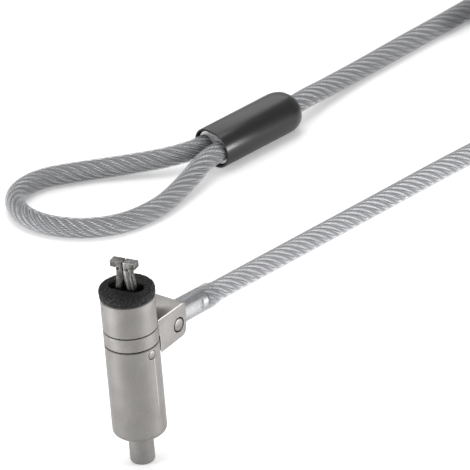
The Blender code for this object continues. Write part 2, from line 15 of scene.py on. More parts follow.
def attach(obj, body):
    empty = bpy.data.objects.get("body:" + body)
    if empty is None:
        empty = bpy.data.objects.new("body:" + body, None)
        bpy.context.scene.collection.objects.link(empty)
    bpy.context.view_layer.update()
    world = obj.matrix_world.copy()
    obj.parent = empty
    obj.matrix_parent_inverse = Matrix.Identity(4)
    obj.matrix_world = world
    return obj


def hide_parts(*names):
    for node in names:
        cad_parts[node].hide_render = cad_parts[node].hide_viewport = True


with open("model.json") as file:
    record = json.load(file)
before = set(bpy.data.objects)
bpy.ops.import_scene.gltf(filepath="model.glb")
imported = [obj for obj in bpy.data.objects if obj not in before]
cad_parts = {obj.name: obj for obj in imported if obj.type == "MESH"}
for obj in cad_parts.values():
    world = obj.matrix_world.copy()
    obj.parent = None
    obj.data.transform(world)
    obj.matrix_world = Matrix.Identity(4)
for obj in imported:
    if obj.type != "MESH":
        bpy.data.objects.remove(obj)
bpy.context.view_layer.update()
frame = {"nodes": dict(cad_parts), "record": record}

MM = 0.001
BODY_OF = {
    node: body for body, nodes in frame["record"]["behaviour"]["bodies"].items() for node in nodes
}

# The view: far away with a long lens, so that parallel lines stay nearly parallel.
VIEW_BACK = Vector((-0.6696, -0.5578, 0.4897))
VIEW_UP = Vector((0.434, 0.241, 0.868))
VIEW_TARGET = Vector((64.9, 23.66, 14.88))
VIEW_DISTANCE = 4000.0
VIEW_WIDTH = 98.95
VIEW_CLIP = (1000.0, 30000.0)
SENSOR_WIDTH = 36.0

# Light: soft boxes as (name, place, side, watts), all turned to the lock.
LIGHT_AIM = Vector((20.0, 10.0, 20.0))
SOFT_BOXES = (
    ("left_box", (-237.0, 167.0, 52.0), 90.0, 1.05),
    ("right_box", (122.0, -263.0, 52.0), 90.0, 0.95),
    ("top_box", (110.0, 70.0, 460.0), 300.0, 0.85),
    ("back_box", (260.0, 220.0, 220.0), 260.0, 0.3),
)
ROOM_BRIGHTNESS = 0.52
FLOOR_GLOW = 0.24
FLOOR_HALF = 3000.0

# Cable: a steel rope in a clear jacket.
CABLE_R = 2.2
CABLE_PITCH = math.radians(6.9)
RIVET = Vector((10.65, 0.0, 28.3))
TERMINAL_END = 12.9
ROPE_LAY = 16.0
ROPE_STRANDS = 7
STRAND_R = 0.57
STRAND_ORBIT_R = 1.5
STRAND_STEPS = 14
STRAND_SIDES = 8
WIRES_PER_STRAND = 7.0
WIRE_LAY = 6.0
JACKET_STEP = 2.0
PATH_STEPS = 20
JACKET_SIDES = 24

# Loop crimp, whose mouth faces the loop.
CRIMP_MOUTH = Vector((106.9, 63.0, 4.2))
CRIMP_TURN = math.radians(169.9)
CRIMP_LENGTH = 23.3
CABLE_SIDE = 2.35
CRIMP_WAY_IN = (
    (CRIMP_LENGTH, 0.0), (19.5, -0.2), (16.0, -1.3), (12.5, -2.2), (8.0, -CABLE_SIDE),
    (2.3, -CABLE_SIDE), (0.0, -CABLE_SIDE),
)
CRIMP_WAY_BACK = (0.0, 2.3, 9.0)

# Black sleeve of the crimp and the aluminium ferrule inside it.
SLEEVE_HALF = (5.2, 4.2)
SLEEVE_WALL = 0.45
SLEEVE_LIP = 0.22
SLEEVE_DOME = 3.8
SLEEVE_END_HALF = (2.75, 2.7)
SLEEVE_HOLE_R = 2.45
SLEEVE_FLOOR = 17.4
FERRULE_SPAN = (0.7, 17.0)
FERRULE_HALF = (4.45, 3.4)
FERRULE_BORE_R = 2.24
FERRULE_BORE_SIDE = 2.23

# Clear tube shrunk over the terminal and the start of the cable.
TUBE_R = (2.42, 2.65)
TUBE_SPAN = (3.05, 16.7)
TUBE_MIDDLE = 8.0
TUBE_SHOULDER = 1.1
TUBE_SHRINK = 0.38

# Foam washer.
WASHER_R = 5.95
WASHER_Z = (39.65, 41.8)
WASHER_OPENING = (3.9, 1.7)
WASHER_ROUND = (0.75, 0.8)
CRUMB_SIZE = 0.45
CRUMB_DEPTH = 0.22
WASHER_TURN = math.radians(11.0)

# Straps round the coil.
STRAP_HALF_WIDTH = 3.5
STRAP_THICKNESS = 0.6
STRAP_GAP = 0.4
STRAP_CORNER_R = 1.6
# Size given to the wave texture, which draws its ribs 0.314 times this apart, so about 5 mm.
STRAP_WAVE = 16.0
STRAP_TURNS = (math.radians(-35.0), math.radians(145.0))

# Coil of spare cable.
COIL_CENTRE = Vector((208.0, 15.0, 0.0))
COIL_R = (18.25, 36.25)
COIL_LAYER_Z = (3.1, 7.6)
COIL_TURNS = 4
COIL_STEPS = 24

# The cable's route between its fittings, the same as the CAD part's.
LEAD_ROUTE = (
    (50.0, 0.0, 23.54), (80.0, 0.0, 19.9), (106.0, 0.0, 16.8), (122.0, -0.6, 14.95),
    (140.0, -3.0, 13.0), (156.0, -7.6, 11.3), (172.0, -13.4, 9.6), (188.0, -18.6, 8.2),
    (199.0, -20.8, 7.7),
)
RETURN_ROUTE = (
    (199.0, 51.6, 2.9), (188.0, 53.1, 2.4), (176.2, 54.9, 2.2), (164.4, 56.6, 2.2),
    (152.8, 58.0, 2.3), (142.0, 58.75, 3.0), (134.5, 58.75, 4.0),
)
LOOP_ROUTE = (
    (103.2, 61.1, 4.1), (99.8, 60.8, 3.8), (96.2, 60.3, 3.3), (92.4, 60.0, 2.8),
    (88.4, 59.8, 2.35), (84.4, 59.8, 2.2), (80.2, 60.4, 2.2), (76.3, 61.6, 2.2),
    (72.8, 63.7, 2.2), (69.9, 66.7, 2.2), (67.7, 70.5, 2.2), (66.4, 74.8, 2.2),
    (66.2, 79.3, 2.2), (67.3, 83.7, 2.2), (69.8, 87.6, 2.2), (73.6, 90.1, 2.2),
    (78.1, 90.4, 2.2), (82.4, 88.8, 2.2), (86.4, 85.6, 2.2), (90.0, 82.0, 2.25),
    (93.3, 78.2, 2.5), (96.3, 74.5, 2.9), (99.0, 71.0, 3.4), (101.6, 68.2, 3.9),
    (104.4, 66.2, 4.2),
)


def linear(hex_colour):
    """An sRGB hex colour as linear red, green, blue and alpha."""
    values = [int(hex_colour[start:start + 2], 16) / 255 for start in (1, 3, 5)]
    return (*[v / 12.92 if v <= 0.04045 else ((v + 0.055) / 1.055) ** 2.4 for v in values], 1.0)


def per_size(size):
    """A texture scale that gives features of this many millimetres."""
    return 1.0 / (size * MM)


def add(tree, kind, inputs=None, stops=None, **settings):
    """Adds a shader node. inputs maps a socket's name or number to a value or another socket."""
    made = tree.nodes.new("ShaderNode" + kind)
    for key, value in settings.items():
        setattr(made, key, value)
    for key, value in (inputs or {}).items():
        if isinstance(value, bpy.types.NodeSocket):
            tree.links.new(value, made.inputs[key])
        else:
            made.inputs[key].default_value = value
    if stops:
        ramp = made.color_ramp.elements
        while len(ramp) < len(stops):
            ramp.new(0.5)
        for element, (position, colour) in zip(ramp, stops):
            element.position = position
            element.color = linear(colour)
    return made


def material(name, **inputs):
    """A material with a Principled shader, its tree, and the tree's object coordinates."""
    made = bpy.data.materials.new(name)
    made.use_nodes = True
    tree = made.node_tree
    shader = tree.nodes["Principled BSDF"]
    for key, value in inputs.items():
        shader.inputs[key.replace("_", " ")].default_value = value
    return made, tree, shader, add(tree, "TexCoord").outputs["Object"]


def piece(name, data, finish):
    """An object in the scene, made of this mesh and this finish."""
    made = bpy.data.objects.new(name, data)
    bpy.context.scene.collection.objects.link(made)
    data.materials.append(finish)
    return made


# Finishes ---------------------------------------------------------------------------------


def edge_wear_and_highlight(tree, reach):
    """1 on an outward edge and 0 on a flat, for wear that shows bare metal along edges and for a
    painted highlight along them.
    """
    soft = add(tree, "Bevel", {"Radius": reach * MM}, samples=6)
    true = add(tree, "NewGeometry")
    same = add(tree, "VectorMath", {0: soft.outputs[0], 1: true.outputs["Normal"]},
               operation="DOT_PRODUCT")
    worn_and_lit_edges = add(tree, "MapRange", {0: same.outputs["Value"], 1: 0.99, 2: 0.86, 3: 0.0, 4: 1.0})
    return worn_and_lit_edges.outputs[0]


def satin_nickel(name, colours, grain, depth, roughness):
    """Nickel plate over fine blasting: soft wide reflections, faint warm clouds and fine grain."""
    made, tree, shader, place = material(name, Metallic=1.0)
    cloud = add(tree, "TexNoise", {"Vector": place, "Scale": per_size(5.0), "Detail": 4.0})
    fine = add(tree, "TexNoise", {"Vector": place, "Scale": per_size(grain), "Detail": 3.0})
    both = add(tree, "Mix", {0: 0.45, 2: cloud.outputs[0], 3: fine.outputs[0]}, data_type="FLOAT")
    tone = add(tree, "ValToRGB", {0: both.outputs[0]},
               stops=((0.35, colours[0]), (0.5, colours[1]), (0.65, colours[2])))
    # Lighter edges: partly bare-metal wear, partly a painted highlight along each outward edge.
    worn_and_lit_edges = add(tree, "Mix", {0: edge_wear_and_highlight(tree, 0.12), 6: tone.outputs[0], 7: linear("#d9d7d2")},
               data_type="RGBA")
    tree.links.new(worn_and_lit_edges.outputs[2], shader.inputs["Base Color"])
    rough = add(tree, "MapRange", {0: both.outputs[0], 1: 0.3, 2: 0.7, 3: roughness - 0.05,
                                   4: roughness + 0.05})
    tree.links.new(rough.outputs[0], shader.inputs["Roughness"])
    bump = add(tree, "Bump", {"Height": fine.outputs[0], "Distance": depth * MM, "Strength": 1.0})
    tree.links.new(bump.outputs[0], shader.inputs["Normal"])
    return made


def hardened_steel():
    """Heat-treated tool steel: mid grey with darker patches, and bright along its edges, partly
    where they rub and partly as a painted highlight.
    """
    made, tree, shader, place = material("hardened tool steel", Metallic=1.0)
    patch = add(tree, "TexNoise", {"Vector": place, "Scale": per_size(1.1), "Detail": 3.0})
    tone = add(tree, "ValToRGB", {0: patch.outputs[0]},
               stops=((0.36, "#434241"), (0.52, "#595857"), (0.68, "#71706e")))
    # Lighter edges: partly bare-metal wear, partly a painted highlight along each outward edge.
    worn_and_lit_edges = add(tree, "Mix", {0: edge_wear_and_highlight(tree, 0.09), 6: tone.outputs[0], 7: linear("#e3e2de")},
               data_type="RGBA")
    tree.links.new(worn_and_lit_edges.outputs[2], shader.inputs["Base Color"])
    rough = add(tree, "MapRange", {0: patch.outputs[0], 1: 0.3, 2: 0.7, 3: 0.5, 4: 0.34})
    tree.links.new(rough.outputs[0], shader.inputs["Roughness"])
    grit = add(tree, "TexNoise", {"Vector": place, "Scale": per_size(0.16), "Detail": 2.0})
    bump = add(tree, "Bump", {"Height": grit.outputs[0], "Distance": 0.03 * MM, "Strength": 0.8})
    tree.links.new(bump.outputs[0], shader.inputs["Normal"])
    return made


def machined_metal(name, dark, light, roughness, lay_size):
    """Turned or milled metal with fine tool marks, drawn out along the cable's way."""
    made, tree, shader, place = material(name, Metallic=1.0)
    lay = add(tree, "Mapping", {"Vector": place, "Scale": (0.12, 1.0, 1.0)})
    marks = add(tree, "TexNoise", {"Vector": lay.outputs[0], "Scale": per_size(lay_size),
                                   "Detail": 3.0})
    tone = add(tree, "ValToRGB", {0: marks.outputs[0]}, stops=((0.36, dark), (0.64, light)))
    tree.links.new(tone.outputs[0], shader.inputs["Base Color"])
    rough = add(tree, "MapRange", {0: marks.outputs[0], 1: 0.3, 2: 0.7, 3: roughness + 0.06,
                                   4: roughness - 0.04})
    tree.links.new(rough.outputs[0], shader.inputs["Roughness"])
    bump = add(tree, "Bump", {"Height": marks.outputs[0], "Distance": 0.015 * MM, "Strength": 0.8})
    tree.links.new(bump.outputs[0], shader.inputs["Normal"])
    return made


def foam_rubber():
    """Closed-cell neoprene: dull black, with torn cells that catch a little light."""
    made, tree, shader, place = material("black cell rubber", Specular_IOR_Level=0.3)
    cells = add(tree, "TexVoronoi", {"Vector": place, "Scale": per_size(0.45), "Randomness": 1.0})
    grit = add(tree, "TexNoise", {"Vector": place, "Scale": per_size(0.3), "Detail": 4.0,
                                  "Roughness": 0.7})
    tone = add(tree, "ValToRGB", {0: grit.outputs[0]},
               stops=((0.45, "#050506"), (0.58, "#101011"), (0.67, "#505053")))
    tree.links.new(tone.outputs[0], shader.inputs["Base Color"])
    rough = add(tree, "MapRange", {0: grit.outputs[0], 1: 0.3, 2: 0.7, 3: 0.95, 4: 0.7})
    tree.links.new(rough.outputs[0], shader.inputs["Roughness"])
    height = add(tree, "Math", {0: cells.outputs["Distance"], 1: grit.outputs[0]}, operation="ADD")
    bump = add(tree, "Bump", {"Height": height.outputs[0], "Distance": 0.1 * MM, "Strength": 1.0})
    tree.links.new(bump.outputs[0], shader.inputs["Normal"])
    return made


def gloss_black():
    """Moulded soft PVC sleeve: charcoal with a wet gloss that faint moulding waves break up."""
    made, tree, shader, place = material("gloss black PVC", Roughness=0.34, IOR=1.45,
                                         Coat_Weight=0.15, Coat_Roughness=0.16)
    waves = add(tree, "TexNoise", {"Vector": place, "Scale": per_size(7.0), "Detail": 2.0})
    dust = add(tree, "TexNoise", {"Vector": place, "Scale": per_size(0.35), "Detail": 3.0})
    tone = add(tree, "ValToRGB", {0: dust.outputs[0]},
               stops=((0.4, "#0c0c0d"), (0.62, "#111112"), (0.76, "#1b1b1d")))
    tree.links.new(tone.outputs[0], shader.inputs["Base Color"])
    bump = add(tree, "Bump", {"Height": waves.outputs[0], "Distance": 0.12 * MM, "Strength": 0.5})
    tree.links.new(bump.outputs[0], shader.inputs["Normal"])
    return made


def see_through(tree, shader, place, body, rim, start):
    """Clear plastic by opacity: faint haze face on, and a solid line only where it turns away."""
    edge = add(tree, "LayerWeight", {"Blend": 0.5})
    haze = add(tree, "TexNoise", {"Vector": place, "Scale": per_size(5.0), "Detail": 2.0})
    face = add(tree, "MapRange", {0: haze.outputs[0], 1: 0.3, 2: 0.7, 3: body[0], 4: body[1]})
    line = add(tree, "MapRange", {0: edge.outputs["Facing"], 1: start, 2: 0.92, 3: 0.0, 4: 1.0},
               interpolation_type="SMOOTHSTEP")
    alpha = add(tree, "Mix", {0: line.outputs[0], 2: face.outputs[0], 3: rim}, data_type="FLOAT")
    tree.links.new(alpha.outputs[0], shader.inputs["Alpha"])


def clear_tube():
    """Clear heat-shrink tube: the terminal shows through it, between grey shiny edges."""
    made, tree, shader, place = material("clear shrink tube", Base_Color=linear("#77787c"),
                                         Roughness=0.14, IOR=1.5)
    see_through(tree, shader, place, (0.07, 0.12), 0.97, 0.32)
    return made


def woven_strap():
    """Hook-and-loop strap: black nylon with wide woven ribs, fine threads and a soft sheen."""
    made, tree, shader, place = material("black nylon strap", Roughness=0.85, Sheen_Weight=0.3)
    ribs = add(tree, "TexWave", {"Vector": place, "Scale": per_size(STRAP_WAVE),
                                 "Distortion": 0.6, "Detail": 1.0}, bands_direction="Z")
    threads = add(tree, "TexVoronoi", {"Vector": place, "Scale": per_size(0.5)})
    weave = add(tree, "Math", {0: ribs.outputs[1], 1: threads.outputs["Distance"]},
                operation="MULTIPLY")
    tone = add(tree, "ValToRGB", {0: weave.outputs[0]}, stops=((0.1, "#101012"), (0.7, "#2c2c30")))
    tree.links.new(tone.outputs[0], shader.inputs["Base Color"])
    bump = add(tree, "Bump", {"Height": weave.outputs[0], "Distance": 0.15 * MM, "Strength": 1.0})
    tree.links.new(bump.outputs[0], shader.inputs["Normal"])
    return made


# Fixed and moving pieces ------------------------------------------------------------------


def settle(made, node):
    """Makes a piece stand for a CAD node: it rides on that node's body, and the node is hidden."""
    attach(made, BODY_OF[node])
    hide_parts(node)
    return made


def finished(name, bm, finish, smooth_angle=32.0, place=None):
    """Writes a bmesh in millimetres to a piece, with its place applied to its mesh."""
    bmesh.ops.remove_doubles(bm, verts=bm.verts, dist=1e-4)
    bmesh.ops.recalc_face_normals(bm, faces=bm.faces)
    bmesh.ops.transform(bm, matrix=Matrix.Scale(MM, 4) @ (place or Matrix()), verts=bm.verts)
    data = bpy.data.meshes.new(name)
    bm.to_mesh(data)
    bm.free()
    data.shade_smooth()
    data.set_sharp_from_angle(angle=math.radians(smooth_angle))
    return piece(name, data, finish)


def refined(node, finish, smooth_angle=32.0, bevel=0.0):
    """A copy of a CAD node with its corners joined, smooth shading and, if asked, softer edges."""
    bm = bmesh.new()
    bm.from_mesh(frame["nodes"][node].data)
    bmesh.ops.scale(bm, verts=bm.verts, vec=(1 / MM, 1 / MM, 1 / MM))
    bmesh.ops.remove_doubles(bm, verts=bm.verts, dist=1e-3)
    bmesh.ops.dissolve_limit(bm, angle_limit=math.radians(0.6), verts=bm.verts[:],
                             edges=bm.edges[:])
    made = finished(f"{node}_surface", bm, finish, smooth_angle)
    if bevel:
        edges = made.modifiers.new("edges", "BEVEL")
        edges.width = bevel * MM
        edges.segments = 3
        edges.limit_method = "ANGLE"
        edges.angle_limit = math.radians(smooth_angle)
        edges.harden_normals = True
    return settle(made, node)


def loop_at(bm, wide, high, height, segments, blend=0.0, round_r=0.0):
    """A closed loop of edges at this height: a stadium, blended towards a circle."""
    ring = bmesh.ops.create_circle(bm, segments=segments, radius=1.0)["verts"]
    for vert in ring:
        straight = math.copysign(wide - high, vert.co.x) if abs(vert.co.x) > 1e-6 else 0.0
        stadium = Vector((straight + high * vert.co.x, high * vert.co.y, height))
        circle = Vector((round_r * vert.co.x, round_r * vert.co.y, height))
        vert.co = stadium.lerp(circle, blend)
    edges = {edge for vert in ring for edge in vert.link_edges}
    return list(edges)


def lofted(rings, segments, closed=False):
    """A skin through loops of (half width, half height, place along, share of circle, radius)."""
    bm = bmesh.new()
    loops = [loop_at(bm, wide, high, along, segments, *more) for wide, high, along, *more in rings]
    pairs = list(zip(loops, loops[1:]))
    if closed:
        pairs.append((loops[-1], loops[0]))
    for near, far in pairs:
        bmesh.ops.bridge_loops(bm, edges=near + far)
    return bm


# The crimp's own length, modelled along Z from its mouth, laid flat and turned into place.
CRIMP_PLACE = (
    Matrix.Translation(CRIMP_MOUTH) @ Matrix.Rotation(CRIMP_TURN - math.pi, 4, "Z")
    @ Matrix.Rotation(math.pi / 2, 4, "X") @ Matrix.Rotation(math.pi / 2, 4, "Y")
)


def build_crimp():
    """The gloss sleeve with its open mouth and domed end, and the ferrule that grips the loop."""
    wide, high = SLEEVE_HALF
    inner_wide, inner_high = wide - SLEEVE_WALL, high - SLEEVE_WALL
    end_wide, end_high = SLEEVE_END_HALF
    lip = SLEEVE_LIP
    outer = [(wide - lip, high - lip, 0.0), (wide - 0.06, high - 0.06, 0.06), (wide, high, lip),
             (wide, high, (CRIMP_LENGTH - SLEEVE_DOME) / 2)]
    for step in range(9):
        turn = math.pi / 2 * step / 8
        along = CRIMP_LENGTH - SLEEVE_DOME * (1 - math.sin(turn))
        shrink = 1 - math.cos(turn)
        outer.append((wide - (wide - end_wide) * shrink, high - (high - end_high) * shrink, along))
    inner = [
        (SLEEVE_HOLE_R + 0.05, SLEEVE_HOLE_R, CRIMP_LENGTH - 0.1),
        (SLEEVE_HOLE_R + 0.02, SLEEVE_HOLE_R, CRIMP_LENGTH - 2.0),
        (SLEEVE_HOLE_R + 0.02, SLEEVE_HOLE_R, SLEEVE_FLOOR + 0.3),
        (inner_wide - 0.2, inner_high - 0.2, SLEEVE_FLOOR),
        (inner_wide, inner_high, SLEEVE_FLOOR - 0.6), (inner_wide, inner_high, 8.0),
        (inner_wide, inner_high, 0.3),
        (inner_wide + 0.08, inner_high + 0.08, 0.06),
    ]
    shell = finished("crimp_sleeve", lofted(outer + inner, 72, closed=True), gloss_black(), 50.0,
                     CRIMP_PLACE)
    settle(shell, "ferrule_sleeve")

    bm = bmesh.new()
    start, end = FERRULE_SPAN
    edges = loop_at(bm, FERRULE_HALF[0], FERRULE_HALF[1], start, 56)
    for side in (-1.0, 1.0):
        hole = bmesh.ops.create_circle(bm, segments=40, radius=FERRULE_BORE_R)["verts"]
        bmesh.ops.translate(bm, verts=hole, vec=(side * FERRULE_BORE_SIDE, 0.0, start))
        edges += list({edge for vert in hole for edge in vert.link_edges})
    face = bmesh.ops.triangle_fill(bm, edges=edges, use_beauty=True, use_dissolve=False)
    drawn = bmesh.ops.extrude_face_region(bm, geom=[f for f in face["geom"]
                                                   if isinstance(f, bmesh.types.BMFace)])
    bmesh.ops.translate(bm, verts=[v for v in drawn["geom"] if isinstance(v, bmesh.types.BMVert)],
                        vec=(0.0, 0.0, end - start))
    aluminium = machined_metal("swaged aluminium", "#b5b6b8", "#e4e5e6", 0.36, 0.5)
    settle(finished("crimp_ferrule", bm, aluminium, 40.0, CRIMP_PLACE), "loop_ferrule")


def build_washer():
    """The foam ring: soft rounded edges round an oblong opening, with crumbs in its surface."""
    low, high = WASHER_Z
    wide, deep = WASHER_OPENING
    mid = (low + high) / 2
    drop, rim = WASHER_ROUND
    rings = [(wide, deep, low + 0.25, 0.0), (wide + 0.2, deep + 0.2, low + 0.03, 0.0),
             (wide, deep, low, 0.55), (wide, deep, low + 0.02, 0.94), (wide, deep, low + 0.3, 1.0),
             (wide, deep, mid, 1.0)]
    rings = [(*ring, WASHER_R) for ring in rings]
    for step in range(6):
        turn = math.pi / 2 * step / 5
        rings.append((wide, deep, high - drop * (1 - math.sin(turn)), 1.0,
                      WASHER_R - rim * (1 - math.cos(turn))))
    rings.append((wide, deep, high, 0.5, WASHER_R - rim))
    rings += [(wide + out, deep + out, high - down, 0.0, 1.0)
              for out, down in ((0.25, 0.02), (0.06, 0.12), (0.0, 0.35), (0.0, high - mid))]
    washer = finished("foam_ring", lofted(rings, 96, closed=True), foam_rubber(), 80.0,
                      Matrix.Rotation(WASHER_TURN - math.pi / 2, 4, "Z"))
    smooth = washer.modifiers.new("smooth", "SUBSURF")
    smooth.levels = smooth.render_levels = 2
    crumbs = bpy.data.textures.new("crumbs", "CLOUDS")
    crumbs.noise_scale = CRUMB_SIZE * MM
    crumbs.noise_depth = 2
    rough = washer.modifiers.new("crumbs", "DISPLACE")
    rough.texture = crumbs
    rough.texture_coords = "LOCAL"
    rough.strength = CRUMB_DEPTH * MM
    rough.mid_level = 0.62
    return settle(washer, "foam_washer")


def build_terminal_tube():
    """The clear tube, shrunk down onto the cable at its far end."""
    inner, outer = TUBE_R
    start, end = TUBE_SPAN
    outline = [(outer - 0.03, start), (outer, start + 0.08), (outer, TUBE_MIDDLE),
               (outer, end - TUBE_SHOULDER)]
    for step in range(1, 7):
        turn = math.pi / 2 * step / 6
        outline.append((outer - TUBE_SHRINK * (1 - math.cos(turn)),
                        end - TUBE_SHOULDER * (1 - math.sin(turn))))
    outline += [(CABLE_R + 0.03, end - 0.02), (inner - 0.12, end - TUBE_SHOULDER),
                (inner, TERMINAL_END + 0.3), (inner, TUBE_MIDDLE), (inner, start + 0.02)]
    bm = bmesh.new()
    verts = [bm.verts.new((along, 0.0, radius)) for radius, along in outline]
    edges = [bm.edges.new(pair) for pair in zip(verts, verts[1:] + verts[:1])]
    bmesh.ops.spin(bm, geom=verts + edges, cent=(0, 0, 0), axis=(1, 0, 0), angle=math.tau,
                   steps=64, use_merge=True)
    place = Matrix.Translation(RIVET) @ Matrix.Rotation(CABLE_PITCH, 4, "Y")
    return settle(finished("terminal_tube", bm, clear_tube(), 50.0, place), "terminal_sleeve")


def build_straps(finish):
    """Two flat straps round the coil, each a band with rounded corners."""
    inner, outer = COIL_R[0] - CABLE_R - 0.9, COIL_R[1] + CABLE_R + STRAP_GAP
    low, high = COIL_LAYER_Z[0] - CABLE_R - STRAP_GAP, COIL_LAYER_Z[1] + CABLE_R + STRAP_GAP
    half_w, half_h = (outer - inner) / 2, (high - low) / 2
    for number, turn in enumerate(STRAP_TURNS, 1):
        bm = bmesh.new()
        outline = []
        for cx, cz, begin in ((half_w, half_h, 0), (-half_w, half_h, 90), (-half_w, -half_h, 180),
                              (half_w, -half_h, 270)):
            for step in range(6):
                angle = math.radians(begin + 18 * step)
                outline.append(Vector((
                    cx - math.copysign(STRAP_CORNER_R, cx) + STRAP_CORNER_R * math.cos(angle), 0.0,
                    cz - math.copysign(STRAP_CORNER_R, cz) + STRAP_CORNER_R * math.sin(angle))))
        verts = [bm.verts.new(p - Vector((0.0, STRAP_HALF_WIDTH, 0.0))) for p in outline]
        edges = [bm.edges.new(pair) for pair in zip(verts, verts[1:] + verts[:1])]
        drawn = bmesh.ops.extrude_edge_only(bm, edges=edges)["geom"]
        bmesh.ops.translate(bm, verts=[v for v in drawn if isinstance(v, bmesh.types.BMVert)],
                            vec=(0.0, 2 * STRAP_HALF_WIDTH, 0.0))
        place = (Matrix.Translation(COIL_CENTRE) @ Matrix.Rotation(turn, 4, "Z")
                 @ Matrix.Translation(((inner + outer) / 2, 0.0, (low + high) / 2)))
        strap = finished(f"coil_strap_{number}", bm, finish, 60.0, place)
        wall = strap.modifiers.new("wall", "SOLIDIFY")
        wall.thickness = STRAP_THICKNESS * MM
        wall.offset = 0.0
        edge = strap.modifiers.new("edges", "BEVEL")
        edge.width = 0.15 * MM
        edge.segments = 2
        settle(strap, f"coil_tie_{number}")


def build_body():
    """The lock itself, in its own metals."""
    smooth_nickel = satin_nickel("satin nickel plate", ("#7a7876", "#817f7d", "#888684"), 0.3,
                                 0.006, 0.45)
    cast_nickel = satin_nickel("blasted nickel casting", ("#757371", "#82807e", "#8f8d8b"), 0.28,
                               0.02, 0.48)
    hook_steel = hardened_steel()
    zinc = machined_metal("zinc-plated turned steel", "#c6c7c9", "#e9e9ea", 0.3, 0.35)
    bright = machined_metal("ground steel", "#a8a9ab", "#cfd0d2", 0.3, 0.3)
    brass = machined_metal("turned brass", "#b08d4a", "#cfae6c", 0.32, 0.3)
    for node, finish, angle, bevel in (
        ("lower_housing", smooth_nickel, 30.0, 0.0), ("head_cap", smooth_nickel, 30.0, 0.0),
        ("housing_pin", smooth_nickel, 40.0, 0.0), ("plunger_barrel", smooth_nickel, 40.0, 0.0),
        ("swivel_ring", cast_nickel, 30.0, 0.0), ("clevis_rivet", cast_nickel, 40.0, 0.0),
        ("hook_left", hook_steel, 30.0, 0.05), ("hook_right", hook_steel, 30.0, 0.05),
        ("hook_pin_left", hook_steel, 40.0, 0.0), ("hook_pin_right", hook_steel, 40.0, 0.0),
        ("cable_terminal", zinc, 30.0, 0.12), ("spreader", bright, 30.0, 0.0),
        ("spreader_pin", bright, 40.0, 0.0), ("key_spindle", bright, 40.0, 0.04),
        ("plunger_bush", brass, 40.0, 0.0), ("tumbler_block", brass, 40.0, 0.0),
    ):
        refined(node, finish, angle, bevel)
    spring = frame["nodes"]["return_spring"]
    spring.data.materials.clear()
    spring.data.materials.append(bright)


# Cable ------------------------------------------------------------------------------------


def on_cable(distance):
    """A point of the terminal's axis, this far from the rivet."""
    return RIVET + Vector((math.cos(CABLE_PITCH), 0.0, -math.sin(CABLE_PITCH))) * distance


def in_crimp(depth, side):
    """A point inside the crimp, this far in from its mouth and this far to one side."""
    out = Vector((math.cos(CRIMP_TURN), math.sin(CRIMP_TURN), 0.0))
    across = Vector((out.y, -out.x, 0.0))
    return CRIMP_MOUTH - out * depth + across * side


def coil_route():
    """The spare cable: inwards on the upper layer, half a turn down, and outwards below."""
    inner, outer = COIL_R
    low, high = COIL_LAYER_Z
    count = COIL_TURNS * COIL_STEPS
    half = COIL_STEPS // 2
    places = [(outer + (inner - outer) * n / count, high) for n in range(count)]
    places += [(inner, high + (low - high) * (1 - math.cos(math.pi * n / half)) / 2)
               for n in range(half)]
    places += [(inner + (outer - inner) * n / count, low) for n in range(count + 1)]
    route = []
    for step, (radius, height) in enumerate(places):
        turn = math.tau * step / COIL_STEPS - math.pi / 2
        route.append(COIL_CENTRE + Vector((radius * math.cos(turn), radius * math.sin(turn),
                                           height)))
    return route


def smooth_path(route):
    """Close points along one smooth curve through the route's points."""
    knots = [Vector(p) for p in route]
    knots = [knots[0] * 2 - knots[1], *knots, knots[-1] * 2 - knots[-2]]
    fine = []
    for before, start, end, after in zip(knots, knots[1:], knots[2:], knots[3:]):
        for step in range(PATH_STEPS):
            t = step / PATH_STEPS
            fine.append(
                0.5 * (2 * start + (end - before) * t
                       + (2 * before - 5 * start + 4 * end - after) * t * t
                       + (3 * start - before - 3 * end + after) * t ** 3)
            )
    fine.append(knots[-2])
    return fine


def path_length(path):
    """The length of a run of points."""
    return sum((b - a).length for a, b in zip(path, path[1:]))


def evenly(path, spacing):
    """The same curve with its points this far apart."""
    lengths = [0.0]
    for a, b in zip(path, path[1:]):
        lengths.append(lengths[-1] + (b - a).length)
    count = max(2, round(lengths[-1] / spacing))
    even = []
    near = 0
    for index in range(count + 1):
        wanted = lengths[-1] * index / count
        while near < len(path) - 2 and lengths[near + 1] < wanted:
            near += 1
        share = (wanted - lengths[near]) / (lengths[near + 1] - lengths[near])
        even.append(path[near].lerp(path[near + 1], share))
    return even


def frames_along(path):
    """Each point with two directions across the path that turn as little as they can."""
    ahead = [(b - a).normalized() for a, b in zip(path, path[1:])]
    ahead.append(ahead[-1])
    side = ahead[0].cross(Vector((0.0, 0.0, 1.0))).normalized()
    frames = []
    for index, point in enumerate(path):
        if index:
            side = ahead[index - 1].rotation_difference(ahead[index]) @ side
        side = (side - ahead[index] * side.dot(ahead[index])).normalized()
        frames.append((point, side, ahead[index].cross(side)))
    return frames


def tube_mesh(name, runs, radius, sides, finish):
    """Round tubes along paths in millimetres. Their UV map is (millimetres along, turns round)."""
    verts, faces, uvs = [], [], []
    for path in runs:
        first = len(verts)
        step = path_length(path) / (len(path) - 1)
        for point, side, up in frames_along(path):
            for n in range(sides):
                turn = math.tau * n / sides
                verts.append((point + (side * math.cos(turn) + up * math.sin(turn)) * radius) * MM)
        for ring in range(len(path) - 1):
            for n in range(sides):
                m = (n + 1) % sides
                here = first + ring * sides
                faces.append((here + n, here + m, here + m + sides, here + n + sides))
                for along, around in ((0, n), (0, n + 1), (1, n + 1), (1, n)):
                    uvs += ((ring + along) * step, around / sides)
        for end, order in ((first, -1), (len(verts) - sides, 1)):
            faces.append([end + n for n in range(sides)][::order])
            uvs += (0.0, 0.0) * sides
    data = bpy.data.meshes.new(name)
    data.from_pydata(verts, [], faces)
    data.uv_layers.new(name="along").data.foreach_set("uv", uvs)
    data.shade_smooth()
    return piece(name, data, finish)


